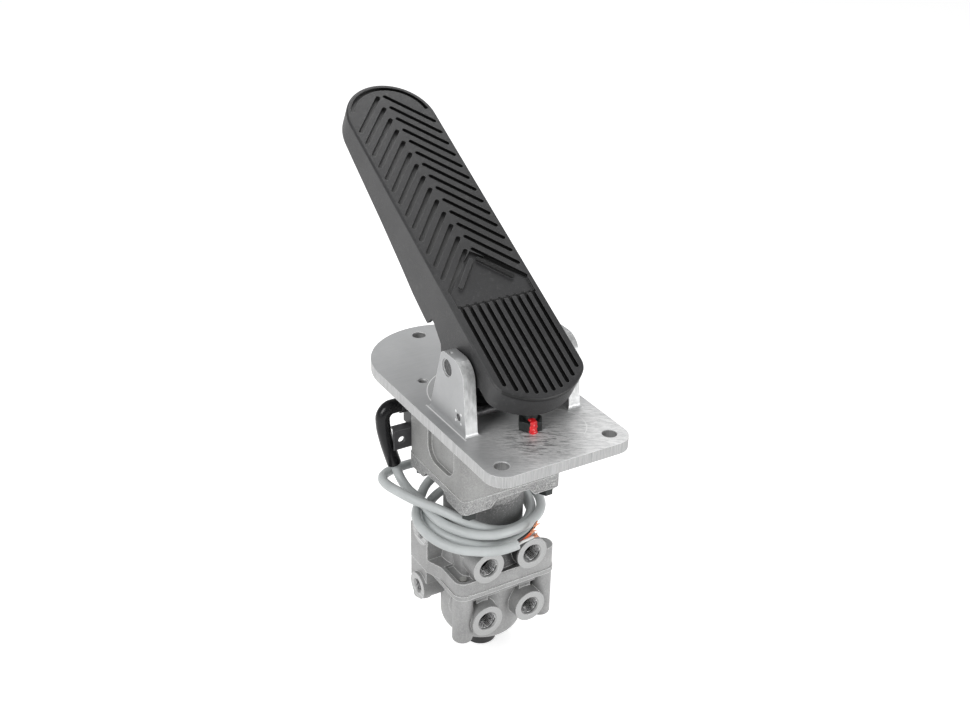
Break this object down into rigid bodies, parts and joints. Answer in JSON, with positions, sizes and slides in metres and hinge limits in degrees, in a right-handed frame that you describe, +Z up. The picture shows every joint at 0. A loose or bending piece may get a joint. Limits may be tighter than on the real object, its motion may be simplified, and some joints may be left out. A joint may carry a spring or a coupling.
{
  "type": "brake valve",
  "caption": "Foot brake valve: ribbed treadle pedal on a round-nosed mounting plate, over a cast valve body with threaded air ports, a bottom exhaust and a sensor with looped cable.",
  "frame": {"origin": "on the valve's axis at the plate's seat face", "axes": "+Z up through the pedal, +Y from the pedal's heel to its toe, +X to the right of the driver"},
  "size_m": [0.1332, 0.2933, 0.4129],
  "materials": {
    "plate_metal": "machined, satin",
    "cast_aluminium": "die cast, fine grain",
    "piston_aluminium": "turned",
    "pin_steel": "ground",
    "spring_steel": "drawn wire",
    "zinc_steel": "zinc plated",
    "black_steel": "black coated",
    "bush_bronze": "sintered",
    "pedal_plastic": "fine grained",
    "roller_plastic": "smooth",
    "bush_plastic": "smooth",
    "valve_plastic": "smooth",
    "exhaust_plastic": "smooth",
    "sensor_plastic": "smooth",
    "cable_sleeve": "matt",
    "cable_grey": "matt jacket",
    "core_insulation": "thin insulation",
    "seal_rubber": "moulded"
  },
  "bodies": {
    "valve": {"mounting_plate": "plate_metal", "pivot_pin": "pin_steel", "lock_pins": "pin_steel", "cross_pin": "pin_steel", "stop_screw": "black_steel", "stop_nut": "black_steel", "guide_bush": "bush_plastic", "plunger_boot": "seal_rubber", "rubber_spring": "seal_rubber", "upper_housing": "cast_aluminium", "housing_bolts": "zinc_steel", "valve_body_upper": "cast_aluminium", "valve_body_lower": "cast_aluminium", "body_screws": "zinc_steel", "primary_spring": "spring_steel", "upper_valve_spring": "spring_steel", "relay_spring": "spring_steel", "lower_valve_spring": "spring_steel", "valve_retainer": "valve_plastic", "retaining_clip": "spring_steel", "exhaust_cover": "exhaust_plastic", "exhaust_flap": "seal_rubber", "sensor_bracket": "black_steel", "bracket_screws": "zinc_steel", "sensor_housing": "sensor_plastic", "cable_socket": "sensor_plastic", "cable_sleeve": "cable_sleeve", "cable_lead": "cable_grey", "cable_coil": "cable_grey", "wire_ends": "core_insulation"},
    "pedal": {"pedal": "pedal_plastic", "pivot_bushes": "bush_bronze", "roller_pin": "pin_steel"},
    "roller": {"roller": "roller_plastic"},
    "plunger": {"plunger": "pin_steel"},
    "primary_piston": {"primary_piston": "piston_aluminium", "primary_ring": "seal_rubber"},
    "upper_inlet_valve": {"upper_inlet_valve": "valve_plastic"},
    "relay_piston": {"relay_piston": "piston_aluminium", "relay_ring": "seal_rubber"},
    "lower_inlet_valve": {"lower_inlet_valve": "valve_plastic"}
  },
  "joints": [
    {"name": "pedal_pivot", "type": "hinge", "parent": "valve", "child": "pedal", "pos_m": [0, -0.0258, 0.0512], "axis": [-1, 0, 0], "range_deg": [0, 18], "stiffness_Nm_per_rad": 8, "springref_deg": -8.59},
    {"name": "roller_spin", "type": "hinge", "parent": "pedal", "child": "roller", "pos_m": [0, 0.002, 0.041], "axis": [1, 0, 0], "continuous": true},
    {"name": "plunger_slide", "type": "slide", "parent": "valve", "child": "plunger", "axis": [0, 0, -1], "range_m": [0, 0.009], "deforming": ["plunger_boot", "rubber_spring"]},
    {"name": "primary_piston_slide", "type": "slide", "parent": "valve", "child": "primary_piston", "axis": [0, 0, -1], "range_m": [0, 0.0046], "deforming": ["primary_spring"]},
    {"name": "upper_inlet_slide", "type": "slide", "parent": "valve", "child": "upper_inlet_valve", "axis": [0, 0, -1], "range_m": [0, 0.0036], "deforming": ["upper_valve_spring"]},
    {"name": "relay_piston_slide", "type": "slide", "parent": "valve", "child": "relay_piston", "axis": [0, 0, -1], "range_m": [0, 0.0034], "deforming": ["relay_spring"]},
    {"name": "lower_inlet_slide", "type": "slide", "parent": "valve", "child": "lower_inlet_valve", "axis": [0, 0, -1], "range_m": [0, 0.0025], "deforming": ["lower_valve_spring"]}
  ],
  "couplings": [
    {"joint": "plunger_slide", "follows": "pedal_pivot", "m_per_rad": 0.0278},
    {"joint": "primary_piston_slide", "follows": "pedal_pivot", "m_per_rad": 0.014},
    {"joint": "upper_inlet_slide", "follows": "pedal_pivot", "m_per_rad": 0.01114},
    {"joint": "relay_piston_slide", "follows": "pedal_pivot", "m_per_rad": 0.0105},
    {"joint": "lower_inlet_slide", "follows": "pedal_pivot", "m_per_rad": 0.00764}
  ]
}
